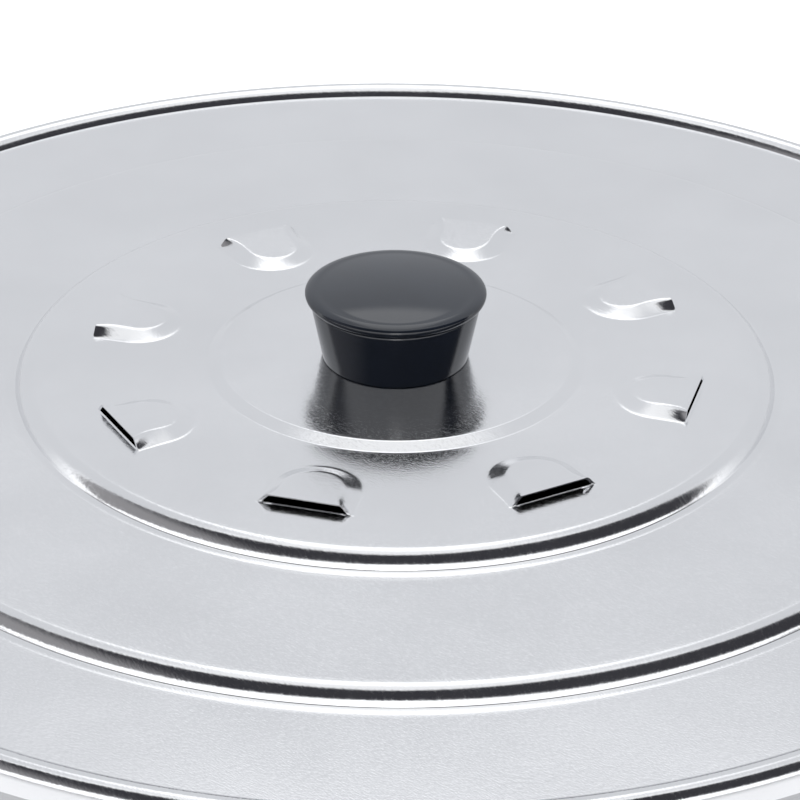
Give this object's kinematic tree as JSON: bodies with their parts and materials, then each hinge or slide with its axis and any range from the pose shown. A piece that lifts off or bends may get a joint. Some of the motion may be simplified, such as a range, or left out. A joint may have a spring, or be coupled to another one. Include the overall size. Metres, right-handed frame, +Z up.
{
  "type": "canner",
  "caption": "Unpressurised canner: a deep steel pot with two bowed side grips, a stepped lid with louvre vents and a flared black knob, and a lift-out wire jar rack with folding handles.",
  "frame": {"origin": "centre of the base's underside, on the surface the pot stands on", "axes": "+Z up along the pot's axis; +X from the left side handle to the right one; -Y is the front, and the rack's wide folding handle stands there"},
  "size_m": [0.4328, 0.3314, 0.28],
  "materials": {
    "pot_steel": "stainless steel with a fine brush round the pot",
    "bracket_steel": "satin stainless steel",
    "lid_steel": "polished stainless steel with a very fine grain",
    "base_aluminium": "bare aluminium, sealed in the base",
    "rack_chrome": "bright chrome plate",
    "zinc_plate": "zinc plate",
    "insert_brass": "turned brass",
    "black_phenolic": "glossy black moulded phenolic"
  },
  "bodies": {
    "pot": {"pot_shell": "pot_steel", "base_core": "base_aluminium", "base_capsule": "pot_steel", "right_bracket": "bracket_steel", "right_grip": "black_phenolic", "right_insert_a": "insert_brass", "right_insert_b": "insert_brass", "right_screw_a": "zinc_plate", "right_screw_b": "zinc_plate", "right_rivet_a": "bracket_steel", "right_rivet_b": "bracket_steel", "left_bracket": "bracket_steel", "left_grip": "black_phenolic", "left_insert_a": "insert_brass", "left_insert_b": "insert_brass", "left_screw_a": "zinc_plate", "left_screw_b": "zinc_plate", "left_rivet_a": "bracket_steel", "left_rivet_b": "bracket_steel"},
    "lid": {"lid_shell": "lid_steel", "knob_body": "black_phenolic", "knob_cap": "black_phenolic", "knob_insert": "insert_brass", "knob_washer": "zinc_plate", "knob_lock_washer": "zinc_plate", "knob_screw": "zinc_plate"},
    "rack": {"rack_frame": "rack_chrome"},
    "wide_handle": {"rack_handle_wide": "rack_chrome"},
    "narrow_handle": {"rack_handle_narrow": "rack_chrome"}
  },
  "joints": [
    {"name": "lid_lift", "type": "slide", "parent": "pot", "child": "lid", "axis": [0, 0, 1], "range_m": [0, 0.42]},
    {"name": "rack_lift", "type": "slide", "parent": "pot", "child": "rack", "axis": [0, 0, 1], "range_m": [0, 0.28]},
    {"name": "wide_handle_fold", "type": "hinge", "parent": "rack", "child": "wide_handle", "pos_m": [0, -0.1235, 0.0236], "axis": [-1, 0, 0], "range_deg": [0, 97]},
    {"name": "narrow_handle_fold", "type": "hinge", "parent": "rack", "child": "narrow_handle", "pos_m": [0, 0.1235, 0.0236], "axis": [1, 0, 0], "range_deg": [0, 92]}
  ],
  "couplings": [
    {"joint": "rack_lift", "follows": "lid_lift", "ratio": 0.66667}
  ]
}
